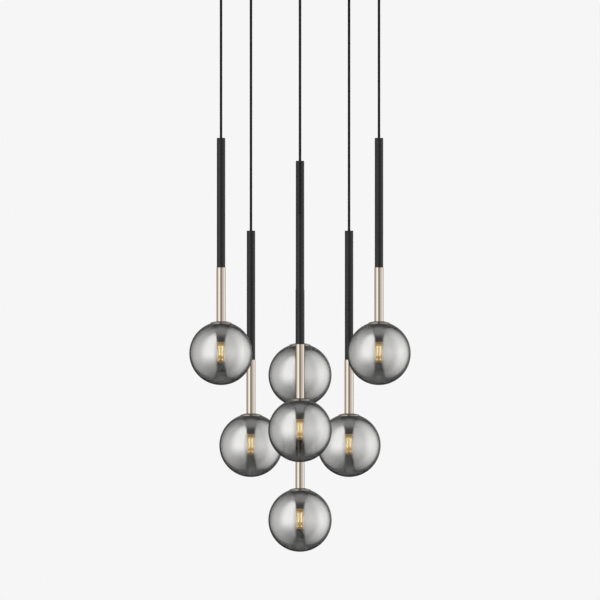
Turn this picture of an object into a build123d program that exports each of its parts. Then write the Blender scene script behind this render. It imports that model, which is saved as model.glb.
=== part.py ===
from build123d import *
import os
from math import cos, hypot, radians, sin, sqrt, tan

# A cluster pendant: seven smoked glass globes, each on a slim stem of black and
# gold tube, hung at different heights by textile cords from one round canopy.
# Millimetres, +Z up. The origin is where the mounting bracket meets the ceiling,
# on the axis of the canopy. The viewer stands on the -Y side.

# ---- driving sizes ------------------------------------------------------------

# how the seven pendants are spread and how far they hang
ring_radius = 158.0            # outer, back and front pendants from the centre
low_ring_radius = 122.0        # the two low pendants from the centre
outer_bearing = 19.0           # degrees the outer pair stand forward of the centre line
low_bearing = 40.3             # degrees the low pair stand behind it
outer_drop = 288.0             # canopy underside to the top of the stem
low_drop = 463.0
back_drop = 330.0
front_drop = 433.0
bottom_drop = 604.0

# canopy: a pressed steel pan, open towards the ceiling
canopy_diameter = 380.0
canopy_height = 28.0
canopy_wall = 1.5
canopy_edge_radius = 5.0
canopy_screw_depth = 11.0      # ceiling to the axis of the side screws

# mounting bracket: a folded channel that the canopy is screwed to
strip_width = 25.0
strip_thickness = 2.0
ear_height = 18.0
ear_gap = 0.35                 # ear to the curved inside of the pan, at the ear's corners
lip_height = 5.0
lip_thickness = 1.5
lip_setback = 22.0             # bend of the ear to the end of the lip
bend_radius = 2.5
slot_spacing = 70.0
slot_length = 16.0
slot_width = 5.5
cable_hole_radius = 7.0        # the supply cable comes through the middle of the strip

# side screws through the pan into the bracket's ears
screw_radius = 1.7
screw_length = 8.0
screw_head_radius = 3.8
screw_head_height = 2.4
screw_head_taper = 12.0        # degrees
screw_hole_radius = 2.2
drive_width = 2.2
drive_depth = 1.2

# cord grips: a turned gland through the pan, held by a hexagon nut inside it
grip_radius = 7.0
grip_drop = 14.0
grip_edge_radius = 2.0
shank_radius = 5.0
shank_rise = 6.5               # above the inside of the pan
nut_across_flats = 14.0
nut_height = 3.0
mouth_depth = 7.0              # the flare that lets the cord swing
swing_limit = 12.0             # degrees, the widest swing of a pendant
cord_end_rise = 3.0            # cord standing out of the shank, inside the pan

# terminal block and earth terminal on the floor of the pan
block_width = 18.0
block_height = 12.0
block_corner_radius = 1.5
block_top_chamfer = 1.0
block_end = 8.0                # axis of the last pole to the end of the block
block_place = 70.0             # behind the centre
pole_pitch = 8.0
pole_count = 6
pole_bore_radius = 1.8
pole_bore_rise = 5.0
pole_screw_radius = 2.0
pole_screw_depth = 4.0
pole_screw_offset = 4.5
earth_place = 70.0             # in front of the centre
earth_stud_radius = 2.0
earth_stud_height = 12.0
earth_flange_radius = 5.0
earth_flange_height = 1.2
earth_nut_across_flats = 7.0
earth_nut_height = 3.2
earth_stud_chamfer = 0.5

# cord: round textile cable
cord_diameter = 5.0
cord_in_bush = 10.0

# upper stem: black powder-coated steel tube with a turned bush in its top
upper_tube_diameter = 16.0
upper_tube_length = 245.0      # top of the bush to the joint
upper_tube_wall = 1.2
bush_head_height = 3.0
bush_chamfer = 0.8
bush_spigot_length = 12.0
bush_mouth_chamfer = 0.5

# lower stem: polished gold tube, a spun cap below it, a nipple joining it upwards
gold_tube_diameter = 17.0
gold_tube_length = 102.0       # joint to the cap
gold_tube_wall = 1.2
gold_shoulder_radius = 0.5
nipple_length = 32.0
nipple_bore_radius = 3.5
tube_plug_height = 8.0
cap_diameter = 40.0
cap_thickness = 1.0
cap_rim_rounding = 0.25        # share of the cap's thickness
cap_land_rise = 58.8           # underside of the cap's middle, above the globe's centre

# globe: blown smoked glass with one round opening and a ring cemented into it
globe_diameter = 120.0
globe_wall = 2.0
globe_opening_radius = 15.0
neck_ring_wall = 3.3
neck_ring_top = 58.0           # above the globe's centre
neck_ring_height = 10.5
neck_ring_chamfer = 0.8

# lamp holder: a black skirt that the neck ring screws on, and the socket below
stud_radius = 5.0
stud_length = 11.0
skirt_radius = 11.2
skirt_height = 12.5
holder_radius = 7.0
holder_taper = 3.0
holder_bottom = 21.9           # above the globe's centre
holder_chamfer = 0.6
pin_spacing = 9.0
pin_radius = 1.0
pin_length = 12.0
pin_rounding = 0.9             # share of the pin's radius
pin_hole_radius = 1.4
pin_hole_depth = 14.0

# lamp: a G9 capsule with light-emitting diodes on a square post
lamp_diameter = 16.5
lamp_length = 40.0
lamp_base_radius = 7.2
lamp_base_height = 4.0
lamp_wall = 0.8
lamp_swell = 0.9               # middle of the envelope beyond its ends
lamp_shoulder_radius = 1.5
lamp_dome_radius = 5.0
lamp_neck_radius = 5.75        # opening at the top of the envelope
post_width = 8.0
post_length = 31.0
post_corner_radius = 0.6
chip_width = 2.2               # across the face of the post
chip_length = 2.6
chip_height = 0.5
chip_pitch = 3.7
chip_count = 5
first_chip_height = 12.0       # above the globe's centre
last_chip_height = -11.6
post_turn = 8.5                # degrees short of the diagonal, as the lamps are seen

# clearances
cap_gap = 0.2                  # cap to glass
push_fit = 0.1                 # bushes and nipple in their tubes, stud in its hole
cord_fit = 0.15                # cord in a bore
thread_gap = 0.2               # neck ring on the skirt, nut on the shank
outlet_gap = 0.5               # shank of a grip in its hole in the pan
cement_gap = 0.3               # neck ring in the glass
socket_gap = 0.3               # lamp below its socket
swing_gap = 0.2                # free cord below the gripped cord, at full swing
mouth_gap = 0.4                # cord to the flare of the grip

# ---- sizes that follow --------------------------------------------------------

canopy_radius = canopy_diameter / 2
floor_height = canopy_height - canopy_wall
block_length = (pole_count - 1) * pole_pitch + 2 * block_end
globe_radius = globe_diameter / 2
cord_radius = cord_diameter / 2
upper_radius = upper_tube_diameter / 2
gold_radius = gold_tube_diameter / 2
lamp_radius = lamp_diameter / 2

# heights above the centre of a globe
cap_outer = globe_radius + cap_gap + cap_thickness
cap_inner = globe_radius + cap_gap
cap_seat = sqrt(cap_outer**2 - gold_radius**2)
joint_height = cap_seat + gold_tube_length
stem_top = joint_height + upper_tube_length
lamp_top = holder_bottom - socket_gap
lamp_bottom = lamp_top - lamp_length

# the cord leaves its grip here, and a pendant swings about this point
swing_height = -(canopy_height + grip_drop - mouth_depth)
cord_bore = cord_radius + cord_fit
mouth_top_radius = cord_radius + mouth_gap
mouth_radius = mouth_top_radius + mouth_depth * tan(radians(swing_limit))
cord_top_gap = cord_radius * sin(radians(swing_limit)) + swing_gap

# the lit post in a lamp: which way its faces look, and the chips up each face
post_bearing = 45 - post_turn
chip_heights = [first_chip_height - chip_pitch * step for step in range(chip_count)]
chip_heights.append(last_chip_height)

# radius from the centre, bearing in degrees from +X, drop
layout = {
    "outer_left": (ring_radius, 180 + outer_bearing, outer_drop),
    "outer_right": (ring_radius, -outer_bearing, outer_drop),
    "low_left": (low_ring_radius, 180 - low_bearing, low_drop),
    "low_right": (low_ring_radius, low_bearing, low_drop),
    "back": (ring_radius, 90, back_drop),
    "front": (ring_radius, -90, front_drop),
    "bottom": (0, 0, bottom_drop),
}


def outlet(name):
    """The place of one pendant's outlet in the canopy, seen from above."""
    radius, bearing = layout[name][:2]
    return (radius * cos(radians(bearing)), radius * sin(radians(bearing)))


def globe_centre(name):
    """The centre of one pendant's globe."""
    drop = layout[name][2]
    return (*outlet(name), -(canopy_height + drop + stem_top))


def level(centre, height):
    """A level plane at a height above a globe's centre."""
    return Plane((centre[0], centre[1], centre[2] + height))


def section(centre):
    """An upright plane through a point: across is the radius, up is the height."""
    return Plane(centre, x_dir=(1, 0, 0), z_dir=(0, -1, 0))


outlets = [outlet(name) for name in layout]
os.makedirs("parts", exist_ok=True)

# ---- canopy -------------------------------------------------------------------

with BuildPart() as canopy:
    with BuildSketch(Plane.XY.offset(-canopy_height)):
        Circle(canopy_radius)
    extrude(amount=canopy_height)
    fillet(canopy.edges().group_by(Axis.Z)[0], canopy_edge_radius)
    offset(amount=-canopy_wall, openings=canopy.faces().sort_by(Axis.Z)[-1])
    with BuildSketch(Plane.XY.offset(-canopy_height)):
        with Locations(*outlets):
            Circle(shank_radius + outlet_gap)
    extrude(amount=canopy_wall, mode=Mode.SUBTRACT)
    with BuildSketch(Plane.YZ):
        with Locations((0, -canopy_screw_depth)):
            Circle(screw_hole_radius)
    extrude(amount=canopy_radius, both=True, mode=Mode.SUBTRACT)
canopy.part.label = "canopy"
export_step(canopy.part, "parts/canopy.step")

# ---- mounting bracket ---------------------------------------------------------

pan_inside = canopy_radius - canopy_wall
ear_face = sqrt(pan_inside**2 - (strip_width / 2) ** 2) - ear_gap

with BuildPart() as mounting_bracket:
    with BuildSketch(Plane.XY.offset(-strip_thickness)):
        Rectangle(2 * ear_face, strip_width)
    extrude(amount=strip_thickness)
    with BuildSketch(Plane.XY.offset(-ear_height)):
        with Locations((ear_face - strip_thickness / 2, 0), (-ear_face + strip_thickness / 2, 0)):
            Rectangle(strip_thickness, strip_width)
    extrude(amount=ear_height)
    with BuildSketch(Plane.XY.offset(-strip_thickness - lip_height)):
        with GridLocations(0, strip_width - lip_thickness, 1, 2):
            Rectangle(2 * (ear_face - lip_setback), lip_thickness)
    extrude(amount=strip_thickness + lip_height)
    bends = mounting_bracket.edges().filter_by(Axis.Y).group_by(Axis.Z)[-1]
    fillet(bends, bend_radius)
    ear_corners = mounting_bracket.edges().filter_by(Axis.X).group_by(Axis.Z)[0]
    fillet(ear_corners, bend_radius)
    with BuildSketch(Plane.XY.offset(-strip_thickness)):
        with GridLocations(slot_spacing, 0, 2, 1):
            SlotOverall(slot_length, slot_width)
        Circle(cable_hole_radius)
    extrude(amount=strip_thickness, mode=Mode.SUBTRACT)
    with BuildSketch(Plane.YZ):
        with Locations((0, -canopy_screw_depth)):
            Circle(screw_radius + push_fit)
    extrude(amount=canopy_radius, both=True, mode=Mode.SUBTRACT)
mounting_bracket.part.label = "mounting_bracket"
export_step(mounting_bracket.part, "parts/mounting_bracket.step")

# ---- canopy screws ------------------------------------------------------------

with BuildPart() as canopy_screws:
    for side in (1, -1):
        head_face = Plane((side * canopy_radius, 0, -canopy_screw_depth), z_dir=(side, 0, 0))
        with BuildSketch(head_face):
            Circle(screw_head_radius)
        extrude(amount=screw_head_height, taper=screw_head_taper)
        with BuildSketch(head_face):
            Circle(screw_radius)
        extrude(amount=-screw_length)
        with BuildSketch(head_face.offset(screw_head_height)):
            Rectangle(2 * screw_head_radius, drive_width / 2)
            Rectangle(drive_width / 2, 2 * screw_head_radius)
            Circle(drive_width, mode=Mode.INTERSECT)
        extrude(amount=-drive_depth, mode=Mode.SUBTRACT)
canopy_screws.part.label = "canopy_screws"
export_step(canopy_screws.part, "parts/canopy_screws.step")

# ---- cord grips, their nuts and the gripped ends of the cords -----------------

with BuildPart() as cord_grips:
    with BuildSketch(Plane.XY.offset(-canopy_height - grip_drop)):
        with Locations(*outlets):
            Circle(grip_radius)
    extrude(amount=grip_drop)
    fillet(cord_grips.edges().group_by(Axis.Z)[0], grip_edge_radius)
    with BuildSketch(Plane.XY.offset(-canopy_height)):
        with Locations(*outlets):
            Circle(shank_radius)
    extrude(amount=canopy_wall + shank_rise)
    with BuildSketch(Plane.XY.offset(swing_height)):
        with Locations(*outlets):
            Circle(cord_bore)
    extrude(amount=canopy_height, mode=Mode.SUBTRACT)
    with Locations(*[Location((x, y, swing_height - mouth_depth / 2)) for x, y in outlets]):
        Cone(mouth_radius, mouth_top_radius, mouth_depth, mode=Mode.SUBTRACT)
cord_grips.part.label = "cord_grips"
export_step(cord_grips.part, "parts/cord_grips.step")

with BuildPart() as grip_nuts:
    with BuildSketch(Plane.XY.offset(-floor_height)):
        with Locations(*outlets):
            RegularPolygon(nut_across_flats / 2, 6, major_radius=False)
            Circle(shank_radius + thread_gap, mode=Mode.SUBTRACT)
    extrude(amount=nut_height)
grip_nuts.part.label = "grip_nuts"
export_step(grip_nuts.part, "parts/grip_nuts.step")

with BuildPart() as cord_ends:
    with BuildSketch(Plane.XY.offset(swing_height)):
        with Locations(*outlets):
            Circle(cord_radius)
    extrude(amount=-swing_height - floor_height + shank_rise + cord_end_rise)
cord_ends.part.label = "cord_ends"
export_step(cord_ends.part, "parts/cord_ends.step")

# ---- terminal block and earth terminal ----------------------------------------

block_floor = Plane((0, block_place, -floor_height))
pole_line = (0, block_place, -floor_height + pole_bore_rise)
pole_face = Plane(pole_line, x_dir=(1, 0, 0), z_dir=(0, -1, 0))

with BuildPart() as terminal_block:
    with BuildSketch(block_floor):
        Rectangle(block_length, block_width)
    extrude(amount=block_height)
    fillet(terminal_block.edges().filter_by(Axis.Z), block_corner_radius)
    chamfer(terminal_block.edges().group_by(Axis.Z)[-1], block_top_chamfer)
    with BuildSketch(pole_face):
        with GridLocations(pole_pitch, 0, pole_count, 1):
            Circle(pole_bore_radius)
    extrude(amount=block_width, both=True, mode=Mode.SUBTRACT)
    with BuildSketch(block_floor.offset(block_height)):
        with GridLocations(pole_pitch, 2 * pole_screw_offset, pole_count, 2):
            Circle(pole_screw_radius)
    extrude(amount=-pole_screw_depth, mode=Mode.SUBTRACT)
terminal_block.part.label = "terminal_block"
export_step(terminal_block.part, "parts/terminal_block.step")

earth_floor = Plane((0, -earth_place, -floor_height))

with BuildPart() as earth_terminal:
    with BuildSketch(earth_floor):
        Circle(earth_flange_radius)
    extrude(amount=earth_flange_height)
    with BuildSketch(earth_floor.offset(earth_flange_height)):
        RegularPolygon(earth_nut_across_flats / 2, 6, major_radius=False)
    extrude(amount=earth_nut_height)
    with BuildSketch(earth_floor):
        Circle(earth_stud_radius)
    extrude(amount=earth_stud_height)
    chamfer(earth_terminal.edges().group_by(Axis.Z)[-1], earth_stud_chamfer)
earth_terminal.part.label = "earth_terminal"
export_step(earth_terminal.part, "parts/earth_terminal.step")

# ---- the seven pendants -------------------------------------------------------


def make_cord(name):
    """The taut cord, from just below its grip to inside the bush of the stem."""
    centre = globe_centre(name)
    top = swing_height - cord_top_gap
    bottom = centre[2] + stem_top - cord_in_bush
    with BuildPart() as cord:
        with BuildSketch(Plane((centre[0], centre[1], bottom))):
            Circle(cord_radius)
        extrude(amount=top - bottom)
    cord.part.label = f"cord_{name}"
    export_step(cord.part, f"parts/cord_{name}.step")


def make_upper_tube(name):
    """The black tube and the turned bush that closes its top round the cord."""
    centre = globe_centre(name)
    bush_seat = stem_top - bush_head_height
    inside = upper_radius - upper_tube_wall
    with BuildPart() as tube:
        with BuildSketch(level(centre, joint_height)):
            Circle(upper_radius)
            Circle(inside, mode=Mode.SUBTRACT)
        extrude(amount=bush_seat - joint_height)
    with BuildPart() as bush:
        with BuildSketch(level(centre, bush_seat)):
            Circle(upper_radius)
        extrude(amount=bush_head_height)
        chamfer(bush.edges().group_by(Axis.Z)[-1], bush_chamfer)
        with BuildSketch(level(centre, bush_seat)):
            Circle(inside - push_fit)
        extrude(amount=-bush_spigot_length)
        with BuildSketch(level(centre, stem_top)):
            Circle(cord_bore)
        extrude(amount=-(bush_head_height + bush_spigot_length), mode=Mode.SUBTRACT)
        chamfer(bush.edges().group_by(Axis.Z)[-1].sort_by(SortBy.RADIUS)[0], bush_mouth_chamfer)
    upper_tube = Compound(label=f"upper_tube_{name}", children=[tube.part, bush.part])
    export_step(upper_tube, f"parts/upper_tube_{name}.step")


def make_gold_tube(name):
    """The gold tube with its end plug, the nipple in its top and the spun cap under it."""
    centre = globe_centre(name)
    inside = gold_radius - gold_tube_wall
    with BuildPart() as tube:
        with BuildSketch(level(centre, cap_seat)):
            Circle(gold_radius)
            Circle(inside, mode=Mode.SUBTRACT)
        extrude(amount=gold_tube_length)
        fillet(tube.edges().group_by(Axis.Z)[-1].sort_by(SortBy.RADIUS)[-1], gold_shoulder_radius)
        with BuildSketch(level(centre, cap_seat)):
            Circle(inside)
            Circle(stud_radius + push_fit, mode=Mode.SUBTRACT)
        extrude(amount=tube_plug_height)
    with BuildPart() as nipple:
        with BuildSketch(level(centre, joint_height)):
            Circle(inside - push_fit)
        extrude(amount=-nipple_length / 2)
        with BuildSketch(level(centre, joint_height)):
            Circle(upper_radius - upper_tube_wall - push_fit)
        extrude(amount=nipple_length / 2)
        with BuildSketch(level(centre, joint_height)):
            Circle(nipple_bore_radius)
        extrude(amount=nipple_length, both=True, mode=Mode.SUBTRACT)
    rim = cap_diameter / 2
    hub = stud_radius + push_fit
    land_radius = sqrt(cap_inner**2 - cap_land_rise**2)
    outer_rim = (rim, sqrt(cap_outer**2 - rim**2))
    inner_rim = (rim, sqrt(cap_inner**2 - rim**2))
    with BuildPart() as cap:
        with BuildSketch(section(centre)):
            with BuildLine():
                Polyline((hub, cap_land_rise), (hub, cap_seat), (gold_radius, cap_seat))
                RadiusArc((gold_radius, cap_seat), outer_rim, cap_outer)
                Line(outer_rim, inner_rim)
                RadiusArc(inner_rim, (land_radius, cap_land_rise), -cap_inner)
                Line((land_radius, cap_land_rise), (hub, cap_land_rise))
            make_face()
        revolve(axis=Axis(centre, (0, 0, 1)))
        fillet(cap.edges().group_by(Axis.Z)[0], cap_thickness * cap_rim_rounding)
    gold_tube = Compound(label=f"gold_tube_{name}", children=[tube.part, nipple.part, cap.part])
    export_step(gold_tube, f"parts/gold_tube_{name}.step")


def make_lamp_holder(name):
    """The turned holder: stud through the cap, threaded skirt, taper and socket."""
    centre = globe_centre(name)
    skirt_bottom = cap_land_rise - skirt_height
    with BuildPart() as lamp_holder:
        with BuildSketch(section(centre)):
            with BuildLine():
                Polyline(
                    (0, holder_bottom),
                    (holder_radius, holder_bottom),
                    (holder_radius, skirt_bottom - holder_taper),
                    (skirt_radius, skirt_bottom),
                    (skirt_radius, cap_land_rise),
                    (stud_radius, cap_land_rise),
                    (stud_radius, cap_land_rise + stud_length),
                    (0, cap_land_rise + stud_length),
                    close=True,
                )
            make_face()
        revolve(axis=Axis(centre, (0, 0, 1)))
        chamfer(lamp_holder.edges().group_by(Axis.Z)[0], holder_chamfer)
        with BuildSketch(level(centre, holder_bottom)):
            with GridLocations(pin_spacing, 0, 2, 1):
                Circle(pin_hole_radius)
        extrude(amount=pin_hole_depth, mode=Mode.SUBTRACT)
    lamp_holder.part.label = f"lamp_holder_{name}"
    export_step(lamp_holder.part, f"parts/lamp_holder_{name}.step")


def make_neck_ring(name):
    """The threaded ring cemented into the opening of the globe."""
    centre = globe_centre(name)
    outside = globe_opening_radius - cement_gap
    with BuildPart() as neck_ring:
        with BuildSketch(level(centre, neck_ring_top)):
            Circle(outside)
            Circle(outside - neck_ring_wall, mode=Mode.SUBTRACT)
        extrude(amount=-neck_ring_height)
        chamfer(neck_ring.edges().group_by(Axis.Z)[0].sort_by(SortBy.RADIUS)[-1], neck_ring_chamfer)
    neck_ring.part.label = f"neck_ring_{name}"
    export_step(neck_ring.part, f"parts/neck_ring_{name}.step")


def make_globe(name):
    """The thin glass sphere, with its round opening at the top."""
    centre = globe_centre(name)
    with BuildPart() as globe:
        with Locations(Location(centre)):
            Sphere(globe_radius)
            Sphere(globe_radius - globe_wall, mode=Mode.SUBTRACT)
        with BuildSketch(level(centre, 0)):
            Circle(globe_opening_radius)
        extrude(amount=globe_diameter, mode=Mode.SUBTRACT)
    globe.part.label = f"globe_{name}"
    export_step(globe.part, f"parts/globe_{name}.step")


def make_lamp(name):
    """The capsule lamp: base with two pins, barrelled envelope and the lit post inside."""
    centre = globe_centre(name)
    base_bottom = lamp_top - lamp_base_height
    upper_end = (lamp_radius - lamp_swell, base_bottom)
    lower_end = (lamp_radius - lamp_swell, lamp_bottom)
    widest = (lamp_radius, (base_bottom + lamp_bottom) / 2)
    with BuildPart() as base:
        with BuildSketch(level(centre, base_bottom)):
            Circle(lamp_base_radius)
        extrude(amount=lamp_base_height)
        with BuildSketch(level(centre, lamp_top)):
            with GridLocations(pin_spacing, 0, 2, 1):
                Circle(pin_radius)
        extrude(amount=pin_length)
        fillet(base.edges().group_by(Axis.Z)[-1], pin_radius * pin_rounding)
    with BuildPart() as envelope:
        with BuildSketch(section(centre)):
            with BuildLine():
                Polyline(lower_end, (0, lamp_bottom), (0, base_bottom), upper_end)
                ThreePointArc(upper_end, widest, lower_end)
            make_face()
        revolve(axis=Axis(centre, (0, 0, 1)))
        fillet(envelope.edges().group_by(Axis.Z)[-1], lamp_shoulder_radius)
        fillet(envelope.edges().group_by(Axis.Z)[0], lamp_dome_radius)
        offset(amount=-lamp_wall, mode=Mode.SUBTRACT)
        with BuildSketch(level(centre, base_bottom)):
            Circle(lamp_neck_radius)
        extrude(amount=-2 * lamp_wall, mode=Mode.SUBTRACT)
    with BuildPart() as post:
        with BuildSketch(level(centre, base_bottom)):
            RectangleRounded(post_width, post_width, post_corner_radius, rotation=post_bearing)
        extrude(amount=-post_length)
        for quarter in range(4):
            outwards = Vector(1, 0, 0).rotate(Axis.Z, post_bearing + 90 * quarter)
            face_middle = Vector(centre) + outwards * post_width / 2
            with BuildSketch(Plane(face_middle, x_dir=(0, 0, 1), z_dir=outwards)):
                with Locations(*[(height, 0) for height in chip_heights]):
                    Rectangle(chip_length, chip_width)
            extrude(amount=chip_height)
    lamp = Compound(label=f"lamp_{name}", children=[base.part, envelope.part, post.part])
    export_step(lamp, f"parts/lamp_{name}.step")


for pendant in layout:
    make_cord(pendant)
    make_upper_tube(pendant)
    make_gold_tube(pendant)
    make_lamp_holder(pendant)
    make_neck_ring(pendant)
    make_globe(pendant)
    make_lamp(pendant)
    x, y, z = globe_centre(pendant)
    print(f"{pendant}: globe centre {x:.2f} {y:.2f} {z:.2f}")
print(f"swing height {swing_height:.2f}, widest reach {hypot(*outlets[0]) + globe_radius:.1f}")
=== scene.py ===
from math import acos, asin, cos, pi, radians, sin, sqrt

import bmesh
import bpy
import numpy as np
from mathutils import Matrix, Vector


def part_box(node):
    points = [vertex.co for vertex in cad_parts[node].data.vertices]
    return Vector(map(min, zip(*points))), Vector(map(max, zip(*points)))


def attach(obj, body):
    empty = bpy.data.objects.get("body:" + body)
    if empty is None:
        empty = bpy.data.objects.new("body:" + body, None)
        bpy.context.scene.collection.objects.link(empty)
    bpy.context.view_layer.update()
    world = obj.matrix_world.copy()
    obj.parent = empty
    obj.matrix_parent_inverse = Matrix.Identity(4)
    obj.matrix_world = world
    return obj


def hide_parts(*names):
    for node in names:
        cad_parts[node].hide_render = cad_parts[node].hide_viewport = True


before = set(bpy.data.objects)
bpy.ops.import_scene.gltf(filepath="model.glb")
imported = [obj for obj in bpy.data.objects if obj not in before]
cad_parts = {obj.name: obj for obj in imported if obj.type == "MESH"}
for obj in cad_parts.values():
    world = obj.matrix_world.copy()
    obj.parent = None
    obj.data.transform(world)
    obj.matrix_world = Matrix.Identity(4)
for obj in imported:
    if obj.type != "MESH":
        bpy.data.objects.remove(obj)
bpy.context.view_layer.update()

# ---- the picture -----------------------------------------------------------------
# The pendants were photographed square on and from far away, so the lens is long. The
# frame is 1.1364 m wide, and its middle is 0.6227 m below the ceiling.

picture_width = 1.1364
picture_middle = -0.6227
viewer_distance = 40.0
sensor_width = 36.0

lens = bpy.data.cameras.new("long_lens")
lens.sensor_width = sensor_width
lens.lens = sensor_width * viewer_distance / picture_width
lens.clip_end = 1.5 * viewer_distance
viewer = bpy.data.objects.new("viewer", lens)
viewer.location = (0, -viewer_distance, picture_middle)
viewer.rotation_euler = (pi / 2, 0, 0)
bpy.context.scene.collection.objects.link(viewer)
bpy.context.scene.camera = viewer
bpy.context.scene.view_settings.view_transform = "Standard"

# ---- cords -----------------------------------------------------------------------
# Round textile cable, 5 mm across: a black braid of sixteen yarns over the cores. Each
# one is pulled straight by its pendant, from its grip down into the bush of the stem.

pendants = (
    "outer_left", "outer_right", "low_left", "low_right", "back", "front", "bottom"
)


def skin(rows, loop=False):
    """Faces over a grid of points, one row after the other. Each row closes on itself,
    and with loop the last row joins the first. A face's corners go round its row and
    then up to the next, so a profile drawn anticlockwise has its normals outwards.
    Gives the points, the faces, and turns and metres along for each corner."""
    count, around = rows.shape[:2]
    bands = count if loop else count - 1
    band = np.arange(bands)[:, None, None]
    spot = np.arange(around)[None, :, None]
    up = np.array([0, 0, 1, 1])
    over = np.array([0, 1, 1, 0])
    faces = (band + up) % count * around + (spot + over) % around
    step = np.linalg.norm(np.roll(rows, -1, axis=0) - rows, axis=2).max(axis=1)
    along = np.concatenate([[0], np.cumsum(step)])
    turns = np.broadcast_to((spot + over) / around, faces.shape)
    metres = np.broadcast_to(along[band + up], faces.shape)
    corners = np.stack([turns, metres], axis=-1)
    return rows.reshape(-1, 3), faces.reshape(-1, 4), corners.reshape(-1, 2)


def make_piece(name, shells, body, node=None, finishes=(), parts=None):
    """One mesh object of closed shells, at the origin. Points that fall together at a
    pole are merged, shell by shell. parts says which finish each shell has, as one
    number or as one number for each of its faces. As in the photograph, the globes
    mirror only the room, so no piece shows in reflections."""
    sizes = [len(points) for points, faces, corners in shells]
    starts = np.concatenate([[0], np.cumsum(sizes)])
    mesh = bpy.data.meshes.new(name)
    faces = [shell[1] + start for shell, start in zip(shells, starts)]
    mesh.from_pydata(
        np.concatenate([shell[0] for shell in shells]), [],
        np.concatenate(faces).tolist(),
    )
    mesh.uv_layers.new(name="wrap")
    wrapped = np.concatenate([shell[2] for shell in shells]).astype(np.float32)
    mesh.uv_layers[0].uv.foreach_set("vector", wrapped.ravel())
    parts = parts or [0] * len(shells)
    index = [np.broadcast_to(part, len(shell[1])) for part, shell in zip(parts, shells)]
    mesh.polygons.foreach_set("material_index", np.concatenate(index).astype(np.int32))
    work = bmesh.new()
    work.from_mesh(mesh)
    work.verts.ensure_lookup_table()
    for group in [work.verts[a:b] for a, b in zip(starts, starts[1:])]:
        bmesh.ops.remove_doubles(work, verts=group, dist=1e-7)
    work.to_mesh(mesh)
    work.free()
    mesh.shade_smooth()
    for material in finishes:
        mesh.materials.append(material)
    piece = bpy.data.objects.new(name, mesh)
    bpy.context.scene.collection.objects.link(piece)
    piece.visible_glossy = False
    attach(piece, body)
    if node:
        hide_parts(node)
    return piece


def add_node(tree, kind, inputs=(), **settings):
    """A shader node. An input given as a socket is linked, and any other is set."""
    made = tree.nodes.new("ShaderNode" + kind)
    for name, value in settings.items():
        setattr(made, name, value)
    for name, value in dict(inputs).items():
        if isinstance(value, bpy.types.NodeSocket):
            tree.links.new(value, made.inputs[name])
        else:
            made.inputs[name].default_value = value
    return made


def compute(tree, operation, *values):
    """The result of a Math node on one, two or three values."""
    inputs = dict(enumerate(values))
    return add_node(tree, "Math", inputs, operation=operation).outputs[0]


def noise(tree, scale, detail):
    """Noise over the object, in its own coordinates."""
    place = add_node(tree, "TexCoord").outputs["Object"]
    inputs = {"Vector": place, "Scale": scale, "Detail": detail}
    return add_node(tree, "TexNoise", inputs).outputs["Fac"]


def make_finish(name, **sockets):
    """A material with a Principled shader. Gives the material and its shader."""
    material = bpy.data.materials.new(name)
    material.use_nodes = True
    shader = material.node_tree.nodes["Principled BSDF"]
    for socket, value in sockets.items():
        shader.inputs[socket.replace("_", " ")].default_value = value
    return material, shader


cord_radius = 0.0025
yarns_each_way = 8
braid_pitch = 0.026
braid_depth = 0.00012
braid_step = 0.0008
cord_around = 56


def braid(turns, metres):
    """Height of the braid from 0 to 1. Yarns run as two families of helices, p and q,
    each rounded as a squared cosine, and at a crossing they lie on top by turns: the
    product of the two cosines says which."""
    p = np.cos(pi * yarns_each_way * (turns + metres / braid_pitch))
    q = np.cos(pi * yarns_each_way * (turns - metres / braid_pitch))
    on_top = 0.5 + 0.5 * p * q
    return p**2 * on_top + q**2 * (1 - on_top)


def braided_tube(path, radius=cord_radius):
    """A round tube along a path, with the braid standing on it and both ends closed.
    Each row is a circle across the path, its radius lowered between the yarns."""
    path = np.array(path)
    legs = np.linalg.norm(np.diff(path, axis=0), axis=1)
    reach = np.concatenate([[0], np.cumsum(legs)])
    along = np.linspace(0, reach[-1], int(reach[-1] / braid_step) + 1)
    middle = np.stack([np.interp(along, reach, path[:, k]) for k in range(3)], axis=1)
    ahead = np.gradient(middle, axis=0)
    ahead /= np.linalg.norm(ahead, axis=1, keepdims=True)
    side = np.cross(ahead, (0, 1, 0))
    side /= np.linalg.norm(side, axis=1, keepdims=True)
    other = np.cross(ahead, side)
    angle = 2 * pi * np.arange(cord_around) / cord_around
    rise = braid(angle[None, :] / (2 * pi), along[:, None])
    size = radius - braid_depth * (1 - rise)
    size = np.concatenate([size[:1] * 0, size, size[-1:] * 0])
    one_more = ((1, 1), (0, 0))
    middle, side, other = (
        np.pad(rows, one_more, mode="edge") for rows in (middle, side, other)
    )
    round_side = np.cos(angle)[None, :, None] * side[:, None, :]
    round_other = np.sin(angle)[None, :, None] * other[:, None, :]
    return skin(middle[:, None, :] + size[:, :, None] * (round_side + round_other))


fibre_scale = 6000.0
fibre_share = 0.35

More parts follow.
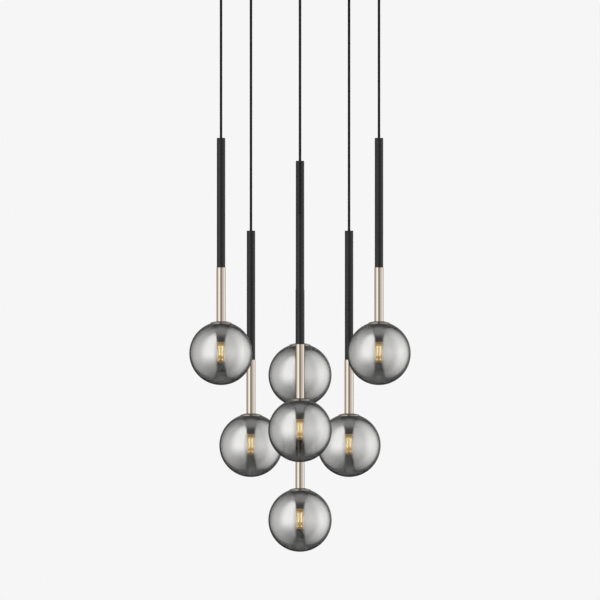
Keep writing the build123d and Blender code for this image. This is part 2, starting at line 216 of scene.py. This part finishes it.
textile, shader = make_finish(
    "braided textile", Roughness=0.85, Specular_IOR_Level=0.12
)
tree = textile.node_tree
wrap = add_node(tree, "UVMap", uv_map="wrap").outputs["UV"]
cosines = []
for way in (1, -1):
    rates = (yarns_each_way, way * yarns_each_way / braid_pitch, 0)
    across = add_node(tree, "VectorMath", {0: wrap, 1: rates}, operation="DOT_PRODUCT")
    phase = compute(tree, "MULTIPLY", across.outputs["Value"], pi)
    cosines.append(compute(tree, "COSINE", phase))
product = compute(tree, "MULTIPLY", *cosines)
on_top = add_node(tree, "MapRange", {"Value": product, "From Min": -1.0})
squares = [compute(tree, "MULTIPLY", cosine, cosine) for cosine in cosines]
yarn = add_node(tree, "Mix", {0: on_top.outputs[0], 2: squares[1], 3: squares[0]})
fibre = noise(tree, fibre_scale, 2.0)
height = compute(tree, "MULTIPLY_ADD", fibre, fibre_share, yarn.outputs[0])
bump = add_node(tree, "Bump", {"Height": height, "Strength": 0.7, "Distance": 0.00015})
# Painted shade: the colour is darker where the braid is low, between the yarns, and
# lighter on their tops. The fibre noise adds a random tone.
shade = add_node(tree, "ValToRGB", {"Fac": height})
shade_between_yarns, on_yarn = shade.color_ramp.elements
shade_between_yarns.position, shade_between_yarns.color = 0.15, (0.020, 0.020, 0.020, 1)
on_yarn.position, on_yarn.color = 1.0, (0.056, 0.055, 0.054, 1)
tree.links.new(shade.outputs["Color"], shader.inputs["Base Color"])
tree.links.new(bump.outputs["Normal"], shader.inputs["Normal"])

for pendant in pendants:
    low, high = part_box(f"cord_{pendant}")
    x, y = (low.x + high.x) / 2, (low.y + high.y) / 2
    near_end = 12 * cord_radius
    heights = (high.z, high.z - near_end, (high.z + low.z) / 2, low.z + near_end, low.z)
    route = bpy.data.curves.new(f"route_{pendant}", "CURVE")
    route.dimensions = "3D"
    spline = route.splines.new("NURBS")
    spline.points.add(len(heights) - 1)
    for point, z in zip(spline.points, heights):
        point.co = (x, y, z, 1)
    spline.order_u = 3
    spline.use_endpoint_u = True
    holder_of_route = bpy.data.objects.new(f"route_{pendant}", route)
    line = bpy.data.meshes.new_from_object(holder_of_route)
    path = [tuple(point.co) for point in line.vertices]
    bpy.data.objects.remove(holder_of_route)
    cord = make_piece(
        f"textile_cord_{pendant}", [braided_tube(path)], f"pendant_{pendant}",
        f"cord_{pendant}", [textile],
    )

# ---- black tubes -----------------------------------------------------------------
# The upper half of each stem is steel tube, 16 mm across, with a fine matt black powder
# coat. A turned bush of the same finish is pushed into its top and closes it round the
# cord, with a small chamfer outside and at its mouth.

globe_radius = 0.060
stem_top = 0.407607
joint_height = 0.162607
upper_radius = 0.008
upper_wall = 0.0012
bush_head = 0.003
bush_chamfer = 0.0008
bush_spigot = 0.012
bush_mouth = 0.0005
cord_bore = 0.00265
push_fit = 0.0001
tube_edge = 0.0002


def globe_centre(pendant):
    """The centre of a pendant's globe, from the box of its glass."""
    low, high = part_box(f"globe_{pendant}")
    return np.array([(low.x + high.x) / 2, (low.y + high.y) / 2, low.z + globe_radius])


def softened(corners, radius, steps=5):
    """A closed or open profile with each corner rounded. corners are (radius, height)
    or (radius, height, rounding). An arc touches both sides of its corner, and a point
    just past each end of the arc keeps the flat sides flat."""
    points = []
    rounded = [tuple(corner) + (radius,) * (3 - len(corner)) for corner in corners]
    for number, (r, z, size) in enumerate(rounded):
        here = np.array([r, z])
        before = np.array(rounded[number - 1][:2]) - here
        after = np.array(rounded[(number + 1) % len(rounded)][:2]) - here
        if size == 0:
            points.append(here[None])
            continue
        run_in, run_out = np.linalg.norm(before), np.linalg.norm(after)
        before, after = before / run_in, after / run_out
        half = acos(np.clip(before @ after, -1, 1)) / 2
        reach = min(size / np.tan(half), 0.45 * run_in, 0.45 * run_out)
        share = np.linspace(0, 1, steps)[:, None]
        start, end = here + before * reach, here + after * reach
        bend = (1 - share) ** 2 * start + 2 * share * (1 - share) * here
        bend = bend + share**2 * end
        spare = 0.3 * reach
        first, last = start + before * spare, end + after * spare
        points += [first[None], bend, last[None]]
    return np.concatenate(points)


def turned(centre, profile, around=64, loop=True):
    """A turned shape: every point of the profile, radius and height above the centre,
    goes round the upright axis, x = r cos a and y = r sin a. With loop the profile is
    a closed cross-section, and otherwise it runs from the axis to the axis."""
    radius, height = np.asarray(profile).T
    angle = 2 * pi * np.arange(around) / around
    x = centre[0] + radius[:, None] * np.cos(angle)
    y = centre[1] + radius[:, None] * np.sin(angle)
    z = np.broadcast_to(centre[2] + height[:, None], x.shape)
    return skin(np.stack([x, y, z], axis=-1), loop)


def make_effect(name, inputs, outputs):
    """A shader node group with named inputs and outputs."""
    group = bpy.data.node_groups.new(name, "ShaderNodeTree")
    for socket in inputs:
        group.interface.new_socket(socket, in_out="INPUT", socket_type="NodeSocketFloat")
    for socket in outputs:
        kind = "NodeSocketVector" if socket == "Normal" else "NodeSocketFloat"
        group.interface.new_socket(socket, in_out="OUTPUT", socket_type=kind)
    given = group.nodes.new("NodeGroupInput").outputs
    result = group.nodes.new("NodeGroupOutput").inputs
    return group, given, result


grain_inputs = ("Scale", "Depth", "Smooth", "Rough")
grain, given, result = make_effect(
    "grain", grain_inputs, ("Normal", "Speck", "Roughness")
)
fine = noise(grain, given["Scale"], 3.0)
lumps = add_node(
    grain, "Bump", {"Height": fine, "Distance": given["Depth"], "Strength": 1.0}
)
handled = add_node(
    grain, "MapRange",
    {"Value": noise(grain, 60.0, 4.0), "From Min": 0.3, "From Max": 0.7,
     "To Min": given["Smooth"], "To Max": given["Rough"]},
)
grain.links.new(lumps.outputs["Normal"], result["Normal"])
grain.links.new(fine, result["Speck"])
grain.links.new(handled.outputs["Result"], result["Roughness"])


def tint_by(material, shader, value, dark, light):
    """Base colour from dark to light as a value goes from 0.3 to 0.7."""
    ramp = add_node(material.node_tree, "ValToRGB", {"Fac": value})
    stops = zip(ramp.color_ramp.elements, (0.3, 0.7), (dark, light))
    for element, position, colour in stops:
        element.position = position
        element.color = (*colour, 1)
    material.node_tree.links.new(ramp.outputs["Color"], shader.inputs["Base Color"])


def make_grained(name, grain_values, dark, light, **sockets):
    """A material with the grain on its roughness and normal, and its speck on the
    colour. grain_values are the scale, the depth, and the least and most roughness."""
    material, shader = make_finish(name, **sockets)
    made = add_node(material.node_tree, "Group", node_tree=grain, name="grain")
    for socket, value in zip(grain_inputs, grain_values):
        made.inputs[socket].default_value = value
    for socket in ("Roughness", "Normal"):
        material.node_tree.links.new(made.outputs[socket], shader.inputs[socket])
    tint_by(material, shader, made.outputs["Speck"], dark, light)
    return material


powder = make_grained(
    "powder coat", (2600.0, 0.00001, 0.22, 0.30),
    (0.030, 0.030, 0.030), (0.044, 0.044, 0.044), Specular_IOR_Level=0.44,
)

for pendant in pendants:
    centre = globe_centre(pendant)
    seat = stem_top - bush_head
    inside = upper_radius - upper_wall
    tube = [
        (inside, joint_height),
        (upper_radius, joint_height),
        (upper_radius, seat),
        (inside, seat),
    ]
    bush = [
        (cord_bore, seat - bush_spigot),
        (inside - push_fit, seat - bush_spigot),
        (inside - push_fit, seat),
        (upper_radius, seat),
        (upper_radius, stem_top - bush_chamfer),
        (upper_radius - bush_chamfer, stem_top),
        (cord_bore + bush_mouth, stem_top),
        (cord_bore, stem_top - bush_mouth),
    ]
    shells = [turned(centre, softened(shape, tube_edge)) for shape in (tube, bush)]
    make_piece(
        f"black_tube_{pendant}", shells, f"pendant_{pendant}",
        f"upper_tube_{pendant}", [powder],
    )

# ---- gold tubes and caps ---------------------------------------------------------
# The lower half is brass tube, 17 mm across, polished and plated in a pale gold. A
# threaded nipple joins it to the black tube, and a plug in its end holds a spun cap
# that follows the top of the globe.

gold_radius = 0.0085
gold_wall = 0.0012
gold_shoulder = 0.0005
stud_radius = 0.005
plug_height = 0.008
nipple_length = 0.032
nipple_bore = 0.0035
cap_radius = 0.020
cap_outer = 0.0612
cap_inner = 0.0602
cap_land = 0.0588
cap_edge = 0.0001
cap_rim_edge = 0.00025
cap_seat = sqrt(cap_outer**2 - gold_radius**2)
gold_around = 96
nipple_around = 48


def arc(radius, start, end, steps):
    """Points on a circle round the globe's centre, from one distance off the axis to
    another, both given as (distance, side), where side -1 is below the centre."""
    first, last = (
        asin(r / radius) if side > 0 else pi - asin(r / radius)
        for r, side in (start, end)
    )
    angle = np.linspace(first, last, steps)
    return np.stack([radius * np.sin(angle), radius * np.cos(angle)], axis=1)


gold, shader = make_finish("pale gold plate", Metallic=1.0)
tree = gold.node_tree
wrap = add_node(tree, "UVMap", uv_map="wrap").outputs["UV"]
lathe_rates = (2.0, 9000.0, 0)
lathe_lines = add_node(
    tree, "VectorMath", {0: wrap, 1: lathe_rates}, operation="MULTIPLY"
)
marks = add_node(
    tree, "TexNoise", {"Vector": lathe_lines.outputs[0], "Scale": 1.0, "Detail": 2.0}
)
smears = noise(tree, 70.0, 5.0)
polish = add_node(
    tree, "MapRange",
    {"Value": smears, "From Min": 0.35, "From Max": 0.7, "To Min": 0.02, "To Max": 0.05},
)
bump = add_node(
    tree, "Bump",
    {"Height": marks.outputs["Fac"], "Distance": 0.0000005, "Strength": 0.6},
)
tint_by(gold, shader, smears, (0.875, 0.765, 0.64), (0.90, 0.79, 0.665))
tree.links.new(polish.outputs["Result"], shader.inputs["Roughness"])
tree.links.new(bump.outputs["Normal"], shader.inputs["Normal"])

for pendant in pendants:
    centre = globe_centre(pendant)
    inside = gold_radius - gold_wall
    hub = stud_radius + push_fit
    half = nipple_length / 2
    upper_inside = upper_radius - upper_wall - push_fit
    tube = [
        (hub, cap_seat),
        (gold_radius, cap_seat),
        (gold_radius, joint_height, gold_shoulder),
        (inside, joint_height),
        (inside, cap_seat + plug_height),
        (hub, cap_seat + plug_height),
    ]
    nipple = [
        (nipple_bore, joint_height - half),
        (inside - push_fit, joint_height - half),
        (inside - push_fit, joint_height),
        (upper_inside, joint_height),
        (upper_inside, joint_height + half),
        (nipple_bore, joint_height + half),
    ]
    land_radius = sqrt(cap_inner**2 - cap_land**2)
    under = arc(cap_inner, (land_radius, 1), (cap_radius, 1), 12)
    over = arc(cap_outer, (cap_radius, 1), (gold_radius, 1), 20)
    cap = [(hub, cap_land), *((r, z, 0) for r, z in under[:-1])]
    cap += [(*under[-1], cap_rim_edge), (*over[0], cap_rim_edge)]
    cap += [(r, z, 0) for r, z in over[1:]]
    cap.append((hub, cap_seat))
    shells = [
        turned(centre, softened(tube, tube_edge), gold_around),
        turned(centre, softened(nipple, tube_edge), nipple_around),
        turned(centre, softened(cap, cap_edge), gold_around),
    ]
    make_piece(
        f"gold_stem_{pendant}", shells, f"pendant_{pendant}",
        f"gold_tube_{pendant}", [gold],
    )

# ---- lamp holders ----------------------------------------------------------------
# Turned dark grey holder: its stud goes up through the cap into the plug of the gold
# tube, the globe's ring goes on its skirt, and the barrel below is the socket. It keeps
# the shape it is made with. A faint glow of its own stands for the lamp's light on it.

lit_inside = (0.14, 0.137, 0.129, 1)
dark_grey = ((0.15, 0.148, 0.14), (0.18, 0.178, 0.168))

socket_grey = make_grained(
    "dark socket", (1800.0, 0.00002, 0.30, 0.42), *dark_grey,
    Emission_Color=lit_inside, Emission_Strength=1.0,
)


def keep_node(name, material):
    """A node that keeps the shape it is made with, in a finish of its own."""
    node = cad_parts[name]
    node.visible_glossy = False
    for material_slot in node.material_slots:
        material_slot.material = material


for pendant in pendants:
    keep_node(f"lamp_holder_{pendant}", socket_grey)

# ---- neck rings ------------------------------------------------------------------
# A dark grey ring, cemented into the opening of the globe. The globe is screwed onto the
# holder's skirt with it, and the thread is left plain. It has the holder's faint glow.

ring_outside = 0.0147
ring_inside = 0.0114
ring_top = 0.058
ring_bottom = 0.0475
ring_chamfer = 0.0008
ring_edge = 0.0003

ring_grey = make_grained(
    "dark ring", (1500.0, 0.00002, 0.26, 0.38), *dark_grey,
    Emission_Color=lit_inside, Emission_Strength=1.0,
)

for pendant in pendants:
    centre = globe_centre(pendant)
    outline = [
        (ring_inside, ring_bottom),
        (ring_outside - ring_chamfer, ring_bottom),
        (ring_outside, ring_bottom + ring_chamfer),
        (ring_outside, ring_top),
        (ring_inside, ring_top),
    ]
    make_piece(
        f"thread_ring_{pendant}", [turned(centre, softened(outline, ring_edge))],
        f"shade_{pendant}", f"neck_ring_{pendant}", [ring_grey],
    )

# ---- globes ----------------------------------------------------------------------
# Mouth-blown glass, 120 mm across and 2 mm thick, with a smoked half-mirror coat on the
# outside: it reflects the room, and the lamp shows through it. The rim of the opening
# is melted round.

globe_wall = 0.002
opening_radius = 0.015
globe_around = 128
globe_rows = 72
lip_rows = 9

coated, shader = make_finish(
    "half-mirror glass", Base_Color=(0.90, 0.895, 0.885, 1), Metallic=0.68,
    Transmission_Weight=1.0, Roughness=0.012, IOR=1.5,
)
clear, inner_shader = make_finish(
    "smoked glass", Base_Color=(0.92, 0.915, 0.91, 1), Metallic=0.0,
    Transmission_Weight=1.0, Roughness=0.0, IOR=1.5,
)
for material, glass_shader in ((coated, shader), (clear, inner_shader)):
    tree = material.node_tree
    blown = noise(tree, 28.0, 1.0)
    waves = add_node(
        tree, "Bump", {"Height": blown, "Distance": 0.00006, "Strength": 1.0}
    )
    tree.links.new(waves.outputs["Normal"], glass_shader.inputs["Normal"])

for pendant in pendants:
    centre = globe_centre(pendant)
    lip = globe_wall / 2
    middle_radius = globe_radius - lip
    tilt = asin((opening_radius + lip) / middle_radius)
    polar = np.linspace(pi, tilt, globe_rows)
    ring = np.stack([np.sin(polar), np.cos(polar)], axis=1)
    turn = np.linspace(0, pi, lip_rows)[1:-1, None]
    outwards = np.array([sin(tilt), cos(tilt)])
    inwards = np.array([-cos(tilt), sin(tilt)])
    bend = np.cos(turn) * outwards + np.sin(turn) * inwards
    rim = middle_radius * outwards + lip * bend
    inside = (globe_radius - globe_wall) * ring[::-1]
    profile = np.concatenate([globe_radius * ring, rim, inside])
    is_inner = np.arange(len(profile) - 1) >= globe_rows + lip_rows // 2 - 1
    bands = np.repeat(is_inner, globe_around)
    make_piece(
        f"glass_globe_{pendant}", [turned(centre, profile, globe_around, loop=False)],
        f"shade_{pendant}", f"globe_{pendant}", [coated, clear], [bands],
    )

# ---- lamps -----------------------------------------------------------------------
# A small two-pin lamp, 40 mm long: a moulded base, an amber envelope a little barrelled,
# and in it a square post with a row of lit diodes up each of its four faces.

lamp_top = 0.0216
base_radius = 0.0072
base_height = 0.004
lamp_bottom = lamp_top - 0.040
lamp_radius = 0.00825
lamp_wall = 0.0008
lamp_swell = 0.0009
lamp_shoulder = 0.0015
lamp_dome = 0.005
pin_spacing = 0.009
post_width = 0.008
post_length = 0.031
post_bearing = radians(45 - 8.5)
chip_width = 0.0022
chip_length = 0.0026
chip_height = 0.0005
chip_heights = [0.012 - 0.0037 * step for step in range(5)] + [-0.0116]
pin_radius = 0.001
pin_length = 0.012
pin_root = 0.0005
pin_tip = 0.0009
pin_edge = 0.0001
base_edge = 0.0004
lamp_around = 48
pin_around = 16
barrel_rows = 26
dome_rows = 12
shoulder_rows = 8


def on_circle(angle):
    """Points (cos a, sin a) on a circle of radius 1, one to a row."""
    return np.stack([np.cos(angle), np.sin(angle)], axis=1)


def rounded_rectangle(width, length, radius, steps=3):
    """Points round a rectangle with rounded corners, anticlockwise: a quarter circle
    at each corner in turn."""
    corner = np.repeat(np.array([(1, 1), (-1, 1), (-1, -1), (1, -1)]), steps, axis=0)
    quarter = np.repeat(np.arange(4), steps) + np.tile(np.linspace(0, 1, steps), 4)
    middle = corner * (np.array([width, length]) / 2 - radius)
    return middle + radius * on_circle(quarter * pi / 2)


def bar(origin, across, along, outward, width, length, height, radius, edge):
    """A block on a plane: a rounded rectangle that rises outward, with its upper edge
    drawn in, and a pole in the middle of each end."""
    levels = [(None, 0), (0, 0), (0, height - edge), (0.3 * edge, height - 0.3 * edge),
              (edge, height), (None, height)]
    rows = []
    for inset, rise in levels:
        if inset is None:
            loop = np.zeros((12, 2))
        else:
            loop = rounded_rectangle(width - 2 * inset, length - 2 * inset, radius)
        rows.append(origin + loop[:, :1] * across + loop[:, 1:] * along + rise * outward)
    return skin(np.array(rows))


def glow_along(material, stops):
    """Emission colour by the height up a piece, in metres from its lower end."""
    tree = material.node_tree
    shader = tree.nodes["Principled BSDF"]
    wrap = add_node(tree, "UVMap", uv_map="wrap").outputs["UV"]
    climb = add_node(tree, "SeparateXYZ", {0: wrap}).outputs["Y"]
    share = add_node(tree, "MapRange", {"Value": climb, "From Max": stops[-1][0]})
    glow = add_node(tree, "ValToRGB", {"Fac": share.outputs["Result"]})
    for number, (height, colour) in enumerate(stops):
        if number < 2:
            element = glow.color_ramp.elements[number]
            element.position = height / stops[-1][0]
        else:
            element = glow.color_ramp.elements.new(height / stops[-1][0])
        element.color = (*colour, 1)
    tree.links.new(glow.outputs["Color"], shader.inputs["Emission Color"])


amber, shader = make_finish(
    "amber envelope", Base_Color=(0.92, 0.80, 0.55, 1), Transmission_Weight=1.0,
    Roughness=0.01, IOR=1.45, Emission_Strength=1.0,
)
glow_along(amber, (
    (0.0, (0.09, 0.055, 0.025)), (0.009, (0.10, 0.065, 0.03)),
    (0.013, (0.21, 0.155, 0.08)), (0.030, (0.28, 0.22, 0.13)),
    (0.042, (0.24, 0.18, 0.09)),
))

# The base's warm glow is painted light: it stands for the lamp's amber light on the base,
# which gives no light itself.
ceramic_painted_glow = make_grained(
    "lamp base, painted glow", (1400.0, 0.00002, 0.4, 0.55), (0.55, 0.50, 0.42), (0.62, 0.57, 0.48),
    Emission_Color=(0.80, 0.54, 0.22, 1), Emission_Strength=1.0,
)
pin_steel = make_grained(
    "pin steel", (3000.0, 0.00001, 0.2, 0.35), (0.55, 0.54, 0.52), (0.66, 0.65, 0.63),
    Metallic=1.0,
)

board = make_grained(
    "lit board", (2400.0, 0.00002, 0.4, 0.5), (0.70, 0.55, 0.30), (0.80, 0.66, 0.38),
    Emission_Strength=1.0,
)
glow_along(board, (
    (0.005, (0.30, 0.19, 0.08)), (0.0075, (0.55, 0.38, 0.16)),
    (0.010, (0.75, 0.52, 0.22)), (0.0138, (1.1, 0.85, 0.42)),
    (0.0165, (1.6, 1.5, 1.0)), (0.031, (1.65, 1.7, 1.3)),
    (0.0335, (0.9, 0.75, 0.4)), (0.036, (0.5, 0.34, 0.13)),
))

diode = make_grained(
    "lit diode", (3600.0, 0.00001, 0.3, 0.4), (0.86, 0.72, 0.32), (0.92, 0.80, 0.42),
    Emission_Strength=1.0,
)
tree = diode.node_tree
shine = add_node(tree, "ValToRGB", {"Fac": tree.nodes["grain"].outputs["Speck"]})
shine.color_ramp.elements[0].color = (3.0, 3.3, 4.0, 1)
shine.color_ramp.elements[1].color = (3.2, 3.5, 4.3, 1)
shader = tree.nodes["Principled BSDF"]
tree.links.new(shine.outputs["Color"], shader.inputs["Emission Color"])

for pendant in pendants:
    centre = globe_centre(pendant)
    base_bottom = lamp_top - base_height
    middle = (base_bottom + lamp_bottom) / 2
    share = np.linspace(0, 1, barrel_rows)
    straight = base_bottom - lamp_bottom - lamp_dome - lamp_shoulder
    body_height = lamp_bottom + lamp_dome + share * straight
    off_middle = (body_height - middle) / (base_bottom - middle)
    barrel = lamp_radius - lamp_swell * off_middle**2
    dome = np.linspace(-pi / 2, 0, dome_rows)[:-1]
    dome_centre = np.array([barrel[0] - lamp_dome, lamp_bottom + lamp_dome])
    shoulder = np.linspace(0, pi / 2, shoulder_rows)[1:]
    shoulder_centre = np.array([barrel[-1] - lamp_shoulder, base_bottom - lamp_shoulder])
    outer = np.concatenate([
        [[0, lamp_bottom]],
        dome_centre + lamp_dome * on_circle(dome),
        np.stack([barrel, body_height], axis=1),
        shoulder_centre + lamp_shoulder * on_circle(shoulder),
    ])
    inner = outer * [1 - lamp_wall / lamp_radius, 1] + [0, lamp_wall]
    inner[:, 1] = np.minimum(inner[:, 1], base_bottom - 0.5 * lamp_wall)
    glass = np.concatenate([outer, inner[::-1]])
    base = softened([
        (0, base_bottom + 0.0001, 0), (base_radius, base_bottom + 0.0001),
        (base_radius, lamp_top), (0, lamp_top, 0),
    ], base_edge)
    shells = [turned(centre, shape, lamp_around, loop=False) for shape in (glass, base)]
    parts = [0, 1]
    for side in (-1, 1):
        pin = softened([
            (0, lamp_top - pin_root, 0), (pin_radius, lamp_top - pin_root),
            (pin_radius, lamp_top + pin_length, pin_tip), (0, lamp_top + pin_length, 0),
        ], pin_edge)
        axis = centre + [side * pin_spacing / 2, 0, 0]
        shells.append(turned(axis, pin, pin_around, loop=False))
        parts.append(2)
    up = np.array([0, 0, 1.0])
    first = np.array([cos(post_bearing), sin(post_bearing), 0])
    foot = centre + up * (base_bottom - post_length)
    shells.append(bar(
        foot, first, np.cross(up, first), up,
        post_width, post_width, post_length, 0.0006, 0.0003,
    ))
    parts.append(3)
    for quarter in range(4):
        bearing = post_bearing + quarter * pi / 2
        outward = np.array([cos(bearing), sin(bearing), 0])
        across = np.cross(up, outward)
        for height in chip_heights:
            seat = centre + up * height + outward * post_width / 2
            shells.append(bar(
                seat, across, up, outward,
                chip_width, chip_length, chip_height, 0.0003, 0.0002,
            ))
            parts.append(4)
    make_piece(
        f"lamp_capsule_{pendant}", shells, f"capsule_{pendant}",
        f"lamp_{pendant}",
        [amber, ceramic_painted_glow, pin_steel, board, diode], parts,
    )

# ---- what holds it to the ceiling ------------------------------------------------
# The pan, its bracket, screws, grips, nuts and terminals keep the shapes they are made
# with and get their own finishes.

moulded = make_grained(
    "black grip", (1800.0, 0.00002, 0.30, 0.42),
    (0.016, 0.016, 0.016), (0.028, 0.028, 0.027),
)
zinc = make_grained(
    "zinc plate", (900.0, 0.00001, 0.32, 0.5),
    (0.50, 0.50, 0.50), (0.62, 0.62, 0.61), Metallic=1.0,
)
brass = make_grained(
    "nut brass", (1500.0, 0.00001, 0.25, 0.4),
    (0.62, 0.47, 0.24), (0.72, 0.56, 0.30), Metallic=1.0,
)
white_block = make_grained(
    "white block", (900.0, 0.00002, 0.4, 0.5),
    (0.72, 0.72, 0.70), (0.78, 0.78, 0.76),
)

kept = {
    "canopy": powder,
    "mounting_bracket": zinc,
    "canopy_screws": zinc,
    "cord_grips": moulded,
    "grip_nuts": brass,
    "terminal_block": white_block,
    "earth_terminal": brass,
    "cord_ends": textile,
}
for node_name, material in kept.items():
    keep_node(node_name, material)

# ---- light and floor -------------------------------------------------------------
# A plain pale studio: a wide wall of soft light on each side of the viewer, who stands
# in the dark gap between them, and a faint ceiling. What the viewer sees behind the
# object, also through glass, is one even pale tone.

background = (0.922, 0.922, 0.922, 1)
ceiling_light = 0.213
ceiling_edge = (56, 81)
gap_lean = 0.05
back_edge = (155, 168)
back_below = 0.04
back_above = 0.12
# Each wall ends in straight edges. They are given as sideways reach where it starts and
# is full, degrees round where it stops at its back, how far that edge leans, and degrees
# down over its side where its foot ends. Its light is two soft patches: degrees round and
# degrees up, each as where the patch starts, is full, fades and ends, and its brightness.
walls = [
    (-1, (0.15, 0.25), (144, 148), 19.6, (-78, -75), [
        ((-60, -50, 50.7, 94), (-45.5, 3, 58.4, 79.6), 0.581),
        ((12.3, 32.8, 72, 179), (-88, 2, 47.5, 90), 0.494),
    ]),
    (1, (0.13, 0.28), (133, 149), 7.0, (-78, -75), [
        ((-60, -50, 92.7, 171), (-70, 9, 51.6, 86), 0.547),
        ((51.5, 91, 112, 151.5), (-88, -10, 0.8, 71), 0.427),
    ]),
]

studio = bpy.data.worlds.new("studio")
studio.use_nodes = True
bpy.context.scene.world = studio
sky = studio.node_tree
sky.nodes.clear()


def combine(operation, *values):
    """A number of the sky, worked out from one, two or three."""
    return compute(sky, operation, *values)


def window(value, start, full, fade=None, end=None):
    """A mask that rises smoothly from start to full and falls from fade to end."""
    rise = add_node(
        sky, "MapRange", {"Value": value, "From Min": start, "From Max": full},
        interpolation_type="SMOOTHSTEP",
    ).outputs["Result"]
    if fade is None:
        return rise
    fall = add_node(
        sky, "MapRange",
        {"Value": value, "From Min": fade, "From Max": end, "To Min": 1.0, "To Max": 0.0},
        interpolation_type="SMOOTHSTEP",
    ).outputs["Result"]
    return combine("MULTIPLY", rise, fall)


def looked_at(tree):
    """1 for rays from the camera and through glass, and 0 for all others."""
    kind = add_node(tree, "LightPath").outputs
    return compute(tree, "MAXIMUM", kind["Is Camera Ray"], kind["Is Transmission Ray"])


direction = add_node(sky, "TexCoord").outputs["Generated"]
axes = add_node(sky, "SeparateXYZ", {0: direction}).outputs
sideways, upward = axes["X"], axes["Z"]
to_viewer = combine("MULTIPLY", axes["Y"], -1.0)
round_by = combine("DEGREES", combine("ARCTAN2", sideways, to_viewer))
raised_by = combine("DEGREES", combine("ARCSINE", upward))
over_side = combine("DEGREES", combine("ARCTAN2", upward, combine("ABSOLUTE", sideways)))
behind = window(combine("ABSOLUTE", round_by), *back_edge)
below = window(combine("MULTIPLY", upward, -1.0), 0.0, 0.3)
above = window(upward, 0.05, 0.25, 0.60, 0.75)
total = combine("MULTIPLY", above, back_above)
total = combine("MULTIPLY_ADD", below, back_below, total)
total = combine("MULTIPLY", total, behind)
total = combine("MULTIPLY_ADD", window(raised_by, *ceiling_edge), ceiling_light, total)
for side, inner, back, lean, foot, patches in walls:
    facing = combine("MULTIPLY", round_by, float(side))
    leaning = combine("MULTIPLY_ADD", upward, -lean, facing)
    past_gap = combine("MULTIPLY", upward, -gap_lean)
    past_gap = combine("MULTIPLY_ADD", sideways, float(side), past_gap)
    mask = window(past_gap, *inner)
    mask = combine("MULTIPLY", mask, combine("SUBTRACT", 1.0, window(leaning, *back)))
    mask = combine("MULTIPLY", mask, window(over_side, *foot))
    for bearings, rises, brightness in patches:
        spread = combine("MULTIPLY", window(facing, *bearings), window(raised_by, *rises))
        lit = combine("MULTIPLY", spread, brightness)
        total = combine("MULTIPLY_ADD", lit, mask, total)
shown = add_node(
    sky, "Mix", {0: looked_at(sky), 6: total, 7: background}, data_type="RGBA"
)
glow = add_node(sky, "Background", {"Color": shown.outputs[2], "Strength": 1.0})
sky.links.new(glow.outputs[0], sky.nodes.new("ShaderNodeOutputWorld").inputs["Surface"])

floor_height = -2.1
floor_radius = 10.5
floor_tone = 0.55
floor_glow = 0.69
floor_sides = 64

pale, shader = make_finish("pale floor", Roughness=0.9)
tree = pale.node_tree
cloud = noise(tree, 1.5, 3.0)
tint_by(pale, shader, cloud, (floor_tone - 0.01,) * 3, (floor_tone + 0.01,) * 3)
lit = compute(tree, "MULTIPLY", looked_at(tree), floor_glow)
tree.links.new(lit, shader.inputs["Emission Strength"])
shader.inputs["Emission Color"].default_value = (1, 1, 1, 1)
under_side = add_node(tree, "NewGeometry").outputs["Backfacing"]
see_through = add_node(tree, "BsdfTransparent").outputs[0]
one_sided = add_node(
    tree, "MixShader", {0: under_side, 1: shader.outputs[0], 2: see_through}
)
tree.links.new(one_sided.outputs[0], tree.nodes["Material Output"].inputs["Surface"])

floor_mesh = bpy.data.meshes.new("floor")
angle = 2 * pi * np.arange(floor_sides) / floor_sides
rim = np.column_stack([floor_radius * on_circle(angle), 0 * angle + floor_height])
floor_mesh.from_pydata(rim, [], [list(range(floor_sides))])
floor_mesh.materials.append(pale)
floor = bpy.data.objects.new("floor", floor_mesh)
bpy.context.scene.collection.objects.link(floor)
floor.visible_glossy = False
